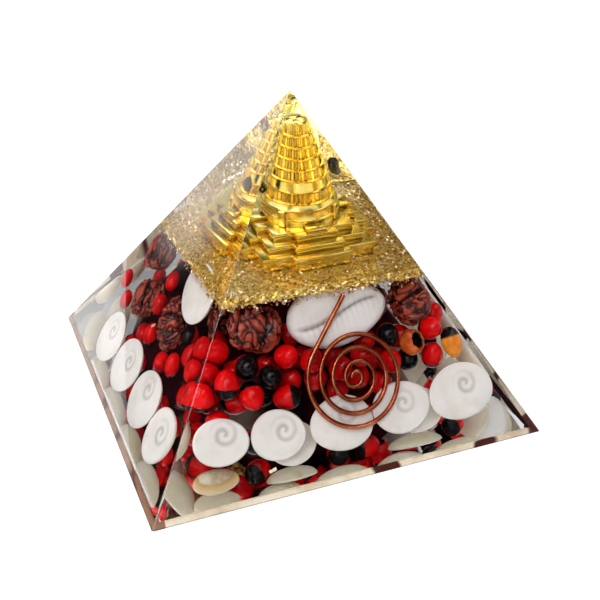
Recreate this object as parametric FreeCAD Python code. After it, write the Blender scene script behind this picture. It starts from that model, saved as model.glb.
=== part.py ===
import FreeCAD, Part
import math
import os

# Vastu pyramid: a clear resin block cast in layers round a gold Meru Shri Yantra,
# a copper spiral, shells, rudraksha beads and seeds. Millimetres, +Z up, base centre at 0.

Vector = FreeCAD.Vector
Rotation = FreeCAD.Rotation
Placement = FreeCAD.Placement

# Block
base_side = 100.0
block_height = 77.2
apex_blunt = 1.6          # width of the small flat left at the very top
corner_radius = 1.4       # rounding of the four arrises at the base
corner_steps = 3
base_layer = 1.2
bed_top = 36.4            # seed bed below, gold flake band above
gold_top = 38.2           # gold flake band below, clear apex above

# Dark core behind the shells and seeds
core_depth = 15.0         # from each face, square to it
core_floor_gap = 1.0      # above the base layer
core_roof_gap = 1.2       # below the gold flake band
core_corner_cut = 21.2    # straight cut across each corner, so that the corners stay clear

# Gaps in the casting
piece_gap = 0.35          # least resin between neighbours in a row
skin = 1.1                # resin over the copper wire

# Copper spiral
wire_diameter = 1.2
wire_flats = 4
spiral_radius = 11.55     # outermost half turn, to the middle of the wire
spiral_step = 1.57        # each half turn is this much smaller
spiral_half_turns = 7
spiral_eye_radius = 1.3   # last half turn
spiral_tail = 15.8
spiral_tail_turn = 40.0   # degrees of arc between the tail and the first half turn
spiral_along = 2.6
spiral_up = 22.8

# Gomti chakra disc: flat spiral face, domed back
gomti_long = 15.0
gomti_short = 12.5
gomti_thick = 4.8
gomti_bevel = 0.45
gomti_sides = 10
gomti_rim_share = 0.95
gomti_shoulder_share = 0.78
gomti_back_share = 0.3
second_thick_share = 0.54
gomti_lean = -25          # degrees, discs of the second layer lean back on the first

# Rudraksha bead
rudraksha_width = 13.0
rudraksha_height = 12.4
rudraksha_lobes = 5
rudraksha_valley_share = 0.86

# Cowrie shells
white_cowrie = (26.0, 15.6, 8.6)    # length, width, thickness
money_cowrie = (10.6, 7.4, 3.8)
cowrie_dome_share = 0.68
money_cowrie_inward = 7.2

# Seeds
seed_length = 7.0
seed_width = 5.8
seed_sides = 5
orange_seed_length = 8.0
orange_seed_width = 5.5
low_row_inward = 16.4     # seeds on the base layer, from the base edge
low_row_turn = 40.0
band_turn = 55.0
band_tips = (-50, -30, 90, -60)
shell_width = 6.5         # open seed shell
shell_wall = 0.7
shell_sides = 9
shell_tilts = (-48, -12, 30, 68)    # degrees below the middle; the opening is above it

# Tourmaline chips, foil and flakes
chip_width = 3.4
chip_height = 4.4
foil_thick = 0.2
sliver_length = 4.6
sliver_width = 1.8
flake_size = 1.5
flake_thick = 0.12
flake_count = 14
flake_reach_share = 0.86
flake_shape_share = 0.7

# Meru Shri Yantra
meru_turn = 3.0
meru_off_axis = 1.0
terrace_half = 15.0
terrace_step = 2.1        # each terrace is this much narrower on every side
terrace_heights = (3.2, 1.9, 2.1)
bay_half = 7.7            # half width of the lowest middle bay
bay_out = 2.6
gate_width = 5.0
gate_height = 1.1
gate_root_share = 0.93    # gates reach this far into the tower foot
tower_foot_radius = 10.0
tower_height = 26.0
ledge = 0.42
finial_radius = 1.5
tower_ribs = 9
storey_shares = (         # height, radius, and depth of the ribs (1 is plain)
    (0.0, 1.0, 1), (0.085, 0.98, 1), (0.17, 0.93, 1), (0.23, 0.86, 0.95), (0.335, 0.78, 1),
    (0.435, 0.70, 0.95), (0.535, 0.62, 0.95), (0.635, 0.53, 0.95), (0.74, 0.43, 0.95),
    (0.845, 0.32, 1))
lug_height = 4.2
lug_width = 1.9
lug_thick = 1.1

# The levels, the casting and the shells above are listed for a block of this size
listed_side = 100.0
listed_height = 77.2

half_base = base_side / 2
run = half_base * (1 - 0.5 * apex_blunt / half_base)
slope = math.degrees(math.atan2(block_height, run))
slant = math.hypot(block_height, run)
tall = block_height / listed_height
wide = base_side / listed_side
steep = slant / math.hypot(listed_height, listed_side / 2 * (1 - apex_blunt / listed_side))
fit = min(wide, steep)    # shells, beads and seeds are picked to suit the tighter way of a face
bed_level = bed_top * tall
gold_level = gold_top * tall


def half_at(height):
    """Half width of the block at a height."""
    return half_base - run * height / block_height


def rounded_square(half, corner, height):
    """Level square outline, its corners rounded in short steps."""
    points = []
    for quarter in range(4):
        turn = Rotation(Vector(0, 0, 1), 90 * quarter)
        middle = Vector(half - corner, corner - half, height)
        for i in range(corner_steps + 1):
            angle = math.pi / 2 * (i / corner_steps - 1)
            reach = Vector(corner * math.cos(angle), corner * math.sin(angle), 0)
            points.append(turn.multVec(middle + reach))
    return points


def pour(low, high):
    """One resin layer of the block, between two heights."""
    rings = []
    for height in (low, high):
        half = half_at(height)
        rings.append(rounded_square(half, corner_radius * half / half_base, height))
    return banded_solid(rings)


def core_block(low, high):
    """Core with the slope of the faces and its corners cut straight."""
    inset = core_depth / math.sin(math.radians(slope))
    rings = []
    for height in (low, high):
        half = half_at(height) - inset
        cut = core_corner_cut / math.sqrt(2) * half / (half_at(low) - inset)
        ring = []
        for quarter in range(4):
            turn = Rotation(Vector(0, 0, 1), 90 * quarter)
            ring.append(turn.multVec(Vector(cut - half, -half, height)))
            ring.append(turn.multVec(Vector(half - cut, -half, height)))
        rings.append(ring)
    return banded_solid(rings)


def flat_face(points):
    return Part.Face(Part.makePolygon(points + points[:1]))


def banded_solid(rings):
    """Closed solid through rings of points, each ring the last one drawn larger or smaller."""
    faces = [flat_face(rings[0]), flat_face(rings[-1])]
    count = len(rings[0])
    for ring, following in zip(rings, rings[1:]):
        for i in range(count):
            j = (i + 1) % count
            faces.append(flat_face([ring[i], ring[j], following[j], following[i]]))
    solid = Part.Solid(Part.Shell(faces))
    if solid.Volume < 0:
        solid.reverse()
    return solid


def lengthwise(outline, length, station_shares, size_shares):
    """Body that runs along X, its cross-section outline (y, z) sized at each station."""
    rings = []
    for station, size in zip(station_shares, size_shares):
        rings.append([Vector(station * length, y * size, z * size) for y, z in outline])
    return banded_solid(rings)


def oval(width, height, sides):
    """Points round an oval."""
    points = []
    for i in range(sides):
        angle = 2 * math.pi * (i + 0.5) / sides
        points.append((width / 2 * math.cos(angle), height / 2 * math.sin(angle)))
    return points


def seed(length, width):
    """Seed along X, picked to suit the block."""
    return lengthwise(oval(width * fit, width * fit, seed_sides), length * fit,
                      (-0.5, -0.2, 0.25, 0.5), (0.45, 1.0, 0.95, 0.4))


def gomti(long_share, short_share, thick_share=1.0):
    """Disc with its flat face at z = 0, the domed back below."""
    outline = oval(gomti_long * fit * long_share, gomti_short * fit * short_share, gomti_sides)
    thick = gomti_thick * fit * thick_share
    shoulder = -thick * gomti_shoulder_share * gomti_shoulder_share
    levels = ((0, gomti_rim_share), (-gomti_bevel, 1), (shoulder, gomti_shoulder_share),
              (-thick, gomti_back_share))
    rings = [[Vector(x * size, y * size, z) for x, y in outline] for z, size in levels]
    return banded_solid(rings)


def rudraksha(width_share=1.0, height_share=1.0):
    """Lobed bead with its bore line along X."""
    outline = []
    for i in range(2 * rudraksha_lobes):
        lobe = rudraksha_width * fit * width_share / 2
        radius = lobe * (1 if i % 2 == 0 else rudraksha_valley_share)
        angle = math.pi * i / rudraksha_lobes
        outline.append((radius * math.cos(angle), radius * math.sin(angle)))
    return lengthwise(outline, rudraksha_height * fit * height_share, (-0.5, -0.22, 0.22, 0.5),
                      (0.45, 1.0, 1.0, 0.45))


def cowrie(size):
    """Shell along X: domed back up, flat underside with its slit down."""
    length, width, thick = [side * fit for side in size]
    lip_share = 0.78
    slit_share = 0.1
    dome = thick * cowrie_dome_share
    outline = []
    dome_steps = 8
    for i in range(dome_steps + 1):
        angle = math.pi * i / dome_steps
        outline.append((width / 2 * math.cos(angle), dome * math.sin(angle)))
    floor = dome - thick
    outline.append((-width / 2 * lip_share, floor))
    outline.append((-width / 2 * slit_share, floor))
    outline.append((0, floor / 4))
    outline.append((width / 2 * slit_share, floor))
    outline.append((width / 2 * lip_share, floor))
    return lengthwise(outline, length, (-0.5, -0.4, -0.2, 0.05, 0.3, 0.44, 0.5),
                      (0.28, 0.66, 0.95, 1.0, 0.84, 0.54, 0.28))


def chip(width, height):
    """Broken crystal: a six-sided prism, narrower at one end."""
    return lengthwise(oval(width, width * 0.8, 6), height, (-0.5, 0.3, 0.5), (0.8, 1.0, 0.6))


def half_shell():
    """Open seed shell, hollow towards +Z."""
    cups = []
    for radius in (shell_width / 2 * fit, shell_width / 2 * fit - shell_wall):
        rings = []
        for tilt in shell_tilts:
            away = radius * math.cos(math.radians(tilt))
            down = -radius * math.sin(math.radians(tilt))
            outline = oval(2 * away, 2 * away, shell_sides)
            rings.append([Vector(x, y, down) for x, y in outline])
        cups.append(rings)
    mouth = cups[0][0][0].z
    cups[1][0] = [Vector(point.x, point.y, mouth) for point in cups[1][0]]
    return banded_solid(cups[0]).cut(banded_solid(cups[1]))


def on_face(face, along, up, depth, turn=0.0, tip=0.0, roll=0.0):
    """Placement under a face: 0 front, 1 right, 2 back, 3 left. Local z points out of it.

    along runs with the base edge, up with the slope, depth squarely into the block.
    """
    swing = Placement(Vector(0, 0, 0), Rotation(Vector(0, 0, 1), 90 * face))
    lean = Placement(Vector(0, -half_base, 0), Rotation(Vector(1, 0, 0), slope))
    spot = Placement(Vector(along, up, -depth), Rotation(Vector(0, 0, 1), turn))
    nod = Placement(Vector(0, 0, 0), Rotation(Vector(0, 1, 0), tip))
    flip = Placement(Vector(0, 0, 0), Rotation(Vector(1, 0, 0), roll))
    return swing.multiply(lean).multiply(spot).multiply(nod).multiply(flip)


def standing(face, along, inward, height, turn=0.0):
    """Level placement by a base edge: inward from the edge, height over the table."""
    swing = Placement(Vector(0, 0, 0), Rotation(Vector(0, 0, 1), 90 * face))
    spot = Placement(Vector(along, inward - half_base, height), Rotation(Vector(0, 0, 1), turn))
    return swing.multiply(spot)


def placed(shape, placement):
    moved = shape.copy()
    moved.Placement = placement.multiply(moved.Placement)
    return moved


def row_centres(sizes, middle):
    """Middles of pieces laid side by side, a gap apart, about a middle."""
    total = sum(sizes) + piece_gap * (len(sizes) - 1)
    start = middle - total / 2
    centres = []
    for size in sizes:
        centres.append(start + size / 2)
        start += size + piece_gap
    return centres


pieces = {}

# Depths under a face, counted from the skin over the wire
wire_depth = skin + wire_diameter / 2
front_depth = skin + wire_diameter + piece_gap
bead_depth = front_depth + rudraksha_width * fit / 2
cowrie_depth = front_depth + white_cowrie[2] * fit * (1 - cowrie_dome_share)
low_row_height = base_layer + piece_gap + seed_width * fit / 2


def gomti_row(name, face, middle_share, row_shares):
    """Row of discs along a face.

    Each has shares of length, width, height up the slope and extra gap before it, and a turn.
    """
    widths = []
    for long_share, short_share, up_share, gap_share, turn in row_shares:
        swing = math.radians(turn)
        across = math.hypot(gomti_long * long_share * math.cos(swing),
                            gomti_short * short_share * math.sin(swing))
        widths.append((across + gap_share * gomti_long) * fit)
    centres = row_centres(widths, middle_share * half_base)
    for i, (long_share, short_share, up_share, gap_share, turn) in enumerate(row_shares):
        along = centres[i] + gap_share * gomti_long * fit / 2
        spot = on_face(face, along, up_share * slant, front_depth, turn)
        pieces[f"{name}_gomti_{i + 1}"] = placed(gomti(long_share, short_share), spot)


def bead_set(name, face, place_shares):
    """Rudraksha beads under a face: shares along and up, a turn, shares of width and height."""
    for i, (along_share, up_share, turn, width_share, height_share) in enumerate(place_shares):
        depth = front_depth + rudraksha_width * fit * width_share / 2
        spot = on_face(face, along_share * half_base, up_share * slant, depth, turn)
        pieces[f"{name}_rudraksha_{i + 1}"] = placed(rudraksha(width_share, height_share), spot)


def seed_group(face, place_shares):
    """Seeds under a face: shares along and up, layer, turn and tip; at a tip of 90 the cap looks out."""
    seeds = []
    for along_share, up_share, layer, turn, tip in place_shares:
        nod = math.radians(tip)
        reach = math.hypot(seed_length * math.sin(nod), seed_width * math.cos(nod)) * fit
        depth = front_depth + reach / 2 + layer * (seed_width * fit + piece_gap)
        spot = on_face(face, along_share * half_base, up_share * slant, depth, turn, tip)
        seeds.append(placed(seed(seed_length, seed_width), spot))
    return seeds


def low_seeds(face, along_shares):
    """Seeds on the base layer, behind the row of discs."""
    seeds = []
    for i, along_share in enumerate(along_shares):
        spot = standing(face, along_share * half_base, low_row_inward * wide, low_row_height,
                        low_row_turn * (i % 3))
        seeds.append(placed(seed(seed_length, seed_width), spot))
    return seeds


def seed_band(face, up_share, count, middle_share):
    """Seeds side by side at one height under a face."""
    centres = row_centres([seed_length * fit] * count, middle_share * half_base)
    places = []
    for i, along in enumerate(centres):
        tip = band_tips[i % len(band_tips)]
        places.append((along / half_base, up_share, 0, band_turn * i, tip))
    return seed_group(face, places)


def spiral_wire():
    """Flat spiral of half turns about two centres, with a straight tail, in the face plane."""
    radius = spiral_radius * fit
    bend = math.radians(180 - spiral_tail_turn)
    lead = Vector(radius * math.cos(bend), radius * math.sin(bend), 0)
    along_tail = Vector(math.sin(bend), -math.cos(bend), 0)
    end = lead + along_tail * spiral_tail * fit
    mid_angle = math.radians(180 - spiral_tail_turn / 2)
    mid = Vector(radius * math.cos(mid_angle), radius * math.sin(mid_angle), 0)
    left = Vector(-radius, 0, 0)
    path = [Part.LineSegment(end, lead).toShape(), Part.Arc(lead, mid, left).toShape()]
    here = left
    for i in range(spiral_half_turns + 1):
        last = i == spiral_half_turns
        size = (spiral_eye_radius if last else spiral_radius - i * spiral_step) * fit
        side = 1 if i % 2 == 0 else -1
        there = here + Vector(2 * size * side, 0, 0)
        low = here + Vector(size * side, -size * side, 0)
        path.append(Part.Arc(here, low, there).toShape())
        here = there
    wire = Part.Wire(path)
    profile = []
    for i in range(wire_flats):
        angle = 2 * math.pi * (i + 0.5) / wire_flats
        across = Vector(-along_tail.y, along_tail.x, 0) * math.cos(angle)
        profile.append(end + (across + Vector(0, 0, 1) * math.sin(angle)) * wire_diameter / 2)
    outline = Part.makePolygon(profile + profile[:1])
    tube = wire.makePipeShell([outline], True, False)
    print("spiral wire length", round(wire.Length, 1))
    points = wire.discretize(Distance=wire_diameter / 4)
    spacing = wire.Length / (len(points) - 1)
    apart = int(2 * wire_diameter / spacing)
    least = min(a.distanceToPoint(b) for i, a in enumerate(points) for b in points[i + apart:])
    print("spiral least gap to itself", round(least - wire_diameter, 2))
    return tube


def redented_terrace(half, low, height):
    """Square terrace with a bay stepping out of the middle of each side."""
    bay = bay_half * half / terrace_half
    quarter = [Vector(-half, -half, low), Vector(-bay, -half, low),
               Vector(-bay, -half - bay_out, low), Vector(bay, -half - bay_out, low),
               Vector(bay, -half, low)]
    points = []
    for side in range(4):
        turn = Rotation(Vector(0, 0, 1), 90 * side)
        points += [turn.multVec(point) for point in quarter]
    return flat_face(points).extrude(Vector(0, 0, height))


def tower_ring(radius, height, rib_share):
    """Level outline with ribs round it; a rib share of 1 leaves it plain."""
    points = []
    for i in range(2 * tower_ribs):
        angle = math.pi * i / tower_ribs
        away = radius * (1 if i % 2 == 0 else rib_share)
        points.append(Vector(away * math.cos(angle), away * math.sin(angle), height))
    return points


def tower(foot):
    """Ringed tower: plain foot rings, a plain band, ribbed storeys and a small dome."""
    rings = []
    rise = tower_height * tall
    for (low_share, radius_share, rib_share), above in zip(storey_shares, storey_shares[1:]):
        radius = tower_foot_radius * radius_share
        top_radius = max(tower_foot_radius * above[1] + ledge, radius - ledge)
        rings.append(tower_ring(radius, foot + rise * low_share, rib_share))
        rings.append(tower_ring(top_radius, foot + rise * above[0], rib_share))
    crown = foot + rise
    neck_share, neck_radius_share, plain = storey_shares[-1]
    rings.append(tower_ring(tower_foot_radius * neck_radius_share,
                            foot + rise * neck_share, plain))
    rings.append(tower_ring(finial_radius, crown - 2 * finial_radius, 1))
    rings.append(tower_ring(finial_radius, crown - finial_radius, 1))
    rings.append(tower_ring(finial_radius / 3, crown, 1))
    return banded_solid(rings)


def meru():
    """Gold Meru Shri Yantra: three redented terraces, gates on the bays, lugs and the tower."""
    low = gold_level
    half = terrace_half
    casting = None
    for height in terrace_heights:
        terrace = redented_terrace(half, low, height * tall)
        casting = terrace if casting is None else casting.fuse(terrace)
        low += height * tall
        half -= terrace_step
    top_half = half + terrace_step
    solids = [tower(low)]
    gate_depth = top_half + bay_out - gate_root_share * tower_foot_radius
    for quarter in range(4):
        turn = Placement(Vector(0, 0, 0), Rotation(Vector(0, 0, 1), 90 * quarter))
        gate = Part.makeBox(gate_width, gate_depth, gate_height,
                            Vector(-gate_width / 2, -top_half - bay_out, low))
        solids.append(placed(gate, turn))
        slant_turn = Placement(Vector(0, 0, 0), Rotation(Vector(0, 0, 1), 90 * quarter + 45))
        lug = Part.makeBox(lug_width, lug_thick, lug_height,
                           Vector(-lug_width / 2, -tower_foot_radius - lug_thick / 2, low))
        solids.append(placed(lug, slant_turn))
    casting = casting.multiFuse(solids).removeSplitter()
    stand = Placement(Vector(meru_off_axis, 0, 0), Rotation(Vector(0, 0, 1), meru_turn))
    return placed(casting.Solids[0], stand)


def flakes():
    """Loose foil flakes scattered through the gold band by an even spiral."""
    golden = math.radians(137.5)
    middle = (bed_level + gold_level) / 2
    reach = half_at(gold_level) * flake_reach_share
    bits = []
    for i in range(flake_count):
        angle = golden * i
        away = reach * math.sqrt((i + 6) / (flake_count + 6))
        bit = Part.makeBox(flake_size, flake_size * flake_shape_share, flake_thick)
        tilt = Rotation(Vector(math.cos(angle), math.sin(angle), 0), 25)
        spot = Vector(away * math.cos(angle), away * math.sin(angle), middle - flake_thick)
        bits.append(placed(bit, Placement(spot, tilt)))
    return bits


# Front face
front_gomti_shares = (
    (0.86, 0.85, 0.160, 0, 0), (0.89, 0.91, 0.147, 0, 0), (1.05, 1.05, 0.141, 0.067, 0),
    (1.01, 1.01, 0.147, 0, 0), (1.21, 1.11, 0.153, 0, 0))
gomti_row("front", 0, 0.020, front_gomti_shares)
second_gomti_shares = (   # along, up, length, width, depth behind the first layer
    (-0.285, 0.119, 0.82, 0.90, 0.98), (0.38, 0.129, 1.0, 0.95, 1.20))
for i, (along_share, up_share, long_share, short_share, back_share) in enumerate(second_gomti_shares):
    spot = on_face(0, along_share * half_base, up_share * slant,
                   front_depth + back_share * gomti_thick * fit, 0, 0, gomti_lean)
    pieces[f"front_second_gomti_{i + 1}"] = placed(
        gomti(long_share, short_share, second_thick_share), spot)
bead_set("front", 0, ((-0.352, 0.418, 70, 1.05, 1.05), (0.466, 0.418, 20, 0.98, 0.98)))
third_bead_share = 0.75   # of a bead's width, behind the others
pieces["front_rudraksha_3"] = placed(rudraksha(), on_face(
    0, 0.28 * half_base, 0.44 * slant, bead_depth + third_bead_share * rudraksha_width * fit, 50))
pieces["front_white_cowrie"] = placed(
    cowrie(white_cowrie), on_face(0, 0.048 * half_base, 0.420 * slant, cowrie_depth, 6, 0, 180))
pieces["copper_spiral"] = placed(
    spiral_wire(), on_face(0, spiral_along * wide, spiral_up * steep, wire_depth))
money_height = base_layer + piece_gap + money_cowrie[2] * fit * (1 - cowrie_dome_share)
pieces["front_money_cowrie"] = placed(cowrie(money_cowrie), standing(
    0, -0.68 * half_base, money_cowrie_inward * wide, money_height))
front_seed_shares = (
    (-0.467, 0.316, 1.22, 20, -50), (-0.545, 0.293, 0, 80, 0), (-0.439, 0.326, 0, 0, 90),
    (-0.334, 0.291, 0, 0, 80), (-0.439, 0.254, 0, -85, -25), (-0.362, 0.247, 0.83, 0, 90),
    (-0.272, 0.232, 0.05, 180, 15), (-0.236, 0.333, 0.16, 30, -60), (-0.120, 0.311, 0, 60, -60),
    (-0.556, 0.355, 1.70, 80, -40), (-0.096, 0.262, 0.80, 20, -50), (-0.138, 0.321, 1.17, 0, -40),
    (-0.169, 0.386, 1.17, 0, -30), (-0.315, 0.313, 1.08, 100, -50), (0.011, 0.312, 0.87, 30, -60),
    (0.016, 0.276, 0, 50, -50), (0.136, 0.299, 0, 0, -60), (0.189, 0.333, 0.85, 40, -40),
    (0.287, 0.269, 0.15, 75, -60), (0.298, 0.339, 0.14, 0, 80), (0.389, 0.329, 1.04, 0, -50),
    (0.531, 0.335, 0, 0, -60), (0.523, 0.262, 0.28, 80, -40), (0.606, 0.368, 1.38, 50, -30),
    (-0.493, 0.243, 0.97, 0, -40), (-0.220, 0.271, 0.87, 40, -60), (0.004, 0.220, 1.12, 0, -30),
    (0.125, 0.244, 0.76, 80, -60), (0.245, 0.279, 1.24, 20, -40), (0.404, 0.263, 0.85, 0, 90),
    (-0.658, 0.272, 0.33, 90, -30), (0.238, 0.216, 0.85, 10, -60))
pieces["front_gunja_seeds"] = Part.makeCompound(
    seed_group(0, front_seed_shares) + low_seeds(0, (-0.60, -0.43, -0.02, 0.13, 0.62)))
pieces["orange_seed"] = placed(
    seed(orange_seed_length, orange_seed_width),
    on_face(0, 0.63 * half_base, 0.286 * slant, front_depth + orange_seed_width * fit / 2, -84))
pieces["half_seed_shell"] = placed(half_shell(), on_face(
    0, 0.417 * half_base, 0.307 * slant, front_depth + shell_width * fit / 2, 0, 25))

# Left face
left_gomti_shares = (
    (1.05, 1.12, 0.120, 0, 30), (1.08, 1.15, 0.127, 0.049, 30), (1.04, 1.16, 0.131, 0.069, 30),
    (0.87, 1.10, 0.123, 0, 0))
gomti_row("left", 3, 0.099, left_gomti_shares)
pieces["left_upper_gomti"] = placed(
    gomti(1.14, 1.08), on_face(3, 0.218 * half_base, 0.442 * slant, front_depth, -23))
bead_set("left", 3, ((-0.460, 0.411, 120, 1.15, 1.02), (-0.328, 0.280, 120, 1.15, 1.02),
                     (0.068, 0.316, 30, 1.17, 1.13)))
left_seed_shares = (
    (-0.620, 0.264, 0.10, 60, -50), (0.501, 0.296, 0, 70, -60), (0.316, 0.251, 0.09, 100, -50),
    (0.509, 0.227, 0.58, 0, -60), (0.624, 0.211, 0.92, 45, -40), (0.466, 0.353, 0, 30, -60),
    (-0.212, 0.194, 1.20, 0, -40), (-0.176, 0.381, 0.66, 0, -50), (0.179, 0.216, 0.37, 20, -60),
    (-0.072, 0.229, 0.54, 110, -40), (-0.513, 0.218, 0.28, 70, -60), (0.277, 0.334, 0.50, 30, 90),
    (-0.132, 0.313, 0.22, 60, -60))
pieces["left_gunja_seeds"] = Part.makeCompound(
    seed_group(3, left_seed_shares) + low_seeds(3, (-0.25, -0.06, 0.20, 0.36, 0.53)))

# Right and back faces, which the photograph doesn't show
right_gomti_shares = ((1.05, 1.02, 0.140, 0, 0), (0.96, 0.98, 0.134, 0, 0),
                      (1.08, 1.06, 0.142, 0, 0), (0.98, 1.00, 0.136, 0, 0))
gomti_row("right", 1, -0.036, right_gomti_shares)
bead_set("right", 1, ((0.40, 0.412, 80, 1, 1),))
pieces["right_white_cowrie"] = placed(
    cowrie(white_cowrie), on_face(1, 0, 0.42 * slant, cowrie_depth, -8, 0, 180))
pieces["right_gunja_seeds"] = Part.makeCompound(
    seed_band(1, 0.265, 6, 0.10) + low_seeds(1, (-0.14, 0.12)))
back_gomti_shares = ((0.89, 1.00, 0.138, 0, 0), (0.97, 1.04, 0.142, 0, 0),
                     (0.96, 1.02, 0.134, 0, 0), (0.88, 1.05, 0.140, 0, 0),
                     (0.84, 0.98, 0.136, 0, 0))
gomti_row("back", 2, 0.104, back_gomti_shares)
bead_set("back", 2, ((-0.13, 0.412, 60, 1, 1), (0.15, 0.412, 10, 1, 1)))
pieces["back_gunja_seeds"] = Part.makeCompound(
    seed_band(2, 0.265, 6, 0) + low_seeds(2, (-0.10, 0.16)))

# Tourmaline chips beside the tower: side, shares of the tower's radius and height, axis and tilt
chip_shares = (("left", -1.02, -0.36, 0.385, (1, 3, 0), 65),
               ("right", 0.92, -0.44, 0.500, (0, 1, 0.2), 80))
tower_foot = gold_level + sum(terrace_heights) * tall
for side, along_share, out_share, height_share, axis, tilt in chip_shares:
    spot = Vector(along_share * tower_foot_radius, out_share * tower_foot_radius,
                  tower_foot + height_share * tower_height * tall)
    pieces[f"{side}_tourmaline"] = placed(
        chip(chip_width, chip_height), Placement(spot, Rotation(Vector(*axis), tilt)))
pieces["gold_flakes"] = Part.makeCompound(flakes())

# Foil slivers just under the faces: face, shares along and up, turn
sliver_shares = ((3, -0.106, 0.462, 10), (0, -0.470, 0.462, 62), (3, 0.014, 0.268, 40),
                 (0, -0.440, 0.062, 15))
slivers = []
for face, along_share, up_share, turn in sliver_shares:
    sliver = Part.makeBox(sliver_length, sliver_width, foil_thick)
    spot = on_face(face, along_share * half_base, up_share * slant, skin, turn)
    slivers.append(placed(sliver, spot))
pieces["foil_slivers"] = Part.makeCompound(slivers)

# The gold casting stands on the gold band, and the resin fills every space round the pieces
pieces["meru_shri_yantra"] = meru()
cast_in = [solid for piece in pieces.values() for solid in piece.Solids]
low, high = base_layer + core_floor_gap, bed_level - core_roof_gap
core = core_block(low, high)
pieces["base_resin"] = pour(0, base_layer).cut(cast_in)
pieces["seed_bed_resin"] = pour(base_layer, bed_level).cut([core] + cast_in)
pieces["dark_core_resin"] = core.cut(cast_in)
pieces["gold_flake_resin"] = pour(bed_level, gold_level).cut(cast_in)
pieces["clear_apex_resin"] = pour(gold_level, block_height).cut(cast_in)

os.makedirs("parts", exist_ok=True)
for name, piece in pieces.items():
    piece.exportStep(f"parts/{name}.step")
print(len(pieces), "pieces")
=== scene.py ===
import bpy
import math
import random
from mathutils import Matrix, Vector, noise


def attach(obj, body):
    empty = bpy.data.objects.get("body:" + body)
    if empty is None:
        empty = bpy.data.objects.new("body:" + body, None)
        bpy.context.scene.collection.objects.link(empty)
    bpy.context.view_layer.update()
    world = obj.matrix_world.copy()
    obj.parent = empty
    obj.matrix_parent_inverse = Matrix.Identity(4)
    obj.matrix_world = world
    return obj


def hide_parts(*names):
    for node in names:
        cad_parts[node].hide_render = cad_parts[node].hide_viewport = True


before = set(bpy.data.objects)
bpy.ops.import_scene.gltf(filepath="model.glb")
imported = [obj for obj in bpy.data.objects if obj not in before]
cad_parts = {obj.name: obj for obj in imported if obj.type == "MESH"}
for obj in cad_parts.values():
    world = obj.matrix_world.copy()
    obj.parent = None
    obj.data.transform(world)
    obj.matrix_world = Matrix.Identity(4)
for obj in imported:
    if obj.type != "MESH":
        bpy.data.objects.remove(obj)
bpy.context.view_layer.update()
mm = 0.001
dice = random.Random(4)
print("frame loaded,", len(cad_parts), "nodes")

block = {
    "half": 50 * mm,
    "height": 77.2 * mm,
    "topWidth": 1.6 * mm,     # sets the slope of the faces
    "tipWidth": 0.7 * mm,     # as drawn, a little sharper
    "cornerRadius": 0.5 * mm,
    "bedTop": 36.4 * mm,
    "goldTop": 38.2 * mm,
}
run = block["half"] - block["topWidth"] / 2
slope = math.atan2(block["height"], run)
slant = math.hypot(block["height"], run)
frontDepth = 2.65     # face of the discs under the resin, in mm
rowGap = 0.35         # between neighbours in a row, in mm


# ---- small tools

def setMode(mode):
    bpy.ops.object.mode_set(mode=mode)


def pick(*pieces):
    bpy.ops.object.select_all(action="DESELECT")
    for piece in pieces:
        piece.select_set(True)
    bpy.context.view_layer.objects.active = pieces[0]


# Opens edit mode with everything selected
def editAll():
    setMode("EDIT")
    bpy.ops.mesh.select_all(action="SELECT")


def subdivide(cuts):
    editAll()
    bpy.ops.mesh.subdivide(number_cuts=cuts)
    setMode("OBJECT")


# Turns all faces outwards and goes back to object mode
def closeShape():
    bpy.ops.mesh.select_all(action="SELECT")
    bpy.ops.mesh.normals_make_consistent(inside=False)
    setMode("OBJECT")


def addModifier(piece, kind, **settings):
    pick(piece)
    modifier = piece.modifiers.new(kind.title(), kind)
    for key, value in settings.items():
        setattr(modifier, key, value)
    bpy.ops.object.modifier_apply(modifier=modifier.name)


def newObject(name, data):
    piece = bpy.data.objects.new(name, data)
    bpy.context.collection.objects.link(piece)
    return piece


def copyOf(model, name):
    return newObject(name, model.data.copy())


def drop(piece):
    bpy.data.objects.remove(piece, do_unlink=True)


def place(piece, matrix):
    piece.matrix_world = matrix
    pick(piece)
    bpy.ops.object.transform_apply(location=True, rotation=True, scale=True)


def joined(pieces, name):
    pick(*pieces)
    bpy.ops.object.join()
    pieces[0].name = name
    return pieces[0]


def smooth(piece, degrees=180):
    pick(piece)
    bpy.ops.object.shade_smooth_by_angle(angle=math.radians(degrees))


# Gives the finished piece its material and ties it to the frame
def dress(piece, material, slotName, *nodes):
    piece.data.materials.clear()
    piece.data.materials.append(material)
    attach(piece, "root")
    if nodes:
        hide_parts(*nodes)
        piece.name = "fine_" + nodes[0]
    piece.data.name = piece.name
    return piece


# Stores a number per vertex for the material to read
def markPoints(piece, name, values):
    mark = piece.data.attributes.new(name, "FLOAT", "POINT")
    for point, value in zip(mark.data, values):
        point.value = value


def turned(degrees, axis="Z"):
    return Matrix.Rotation(math.radians(degrees), 4, axis)


def movedBy(x, y, z):     # in mm
    return Matrix.Translation((x * mm, y * mm, z * mm))


# Place under a face: 0 front, 1 right, 2 back, 3 left. Local z points out of it. Lengths in mm
def onFace(face, along, up, depth, turn=0, tip=0, roll=0):
    return (turned(90 * face) @ Matrix.Translation((0, -block["half"], 0))
            @ Matrix.Rotation(slope, 4, "X") @ movedBy(along, up, -depth)
            @ turned(turn) @ turned(tip, "Y") @ turned(roll, "X"))


# Level place by a base edge, in mm
def standing(face, along, inward, height, turn=0):
    return turned(90 * face) @ movedBy(along, inward - block["half"] / mm, height) @ turned(turn)


def halfAt(height):
    return block["half"] - run * height / block["height"]


# ---- materials

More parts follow.
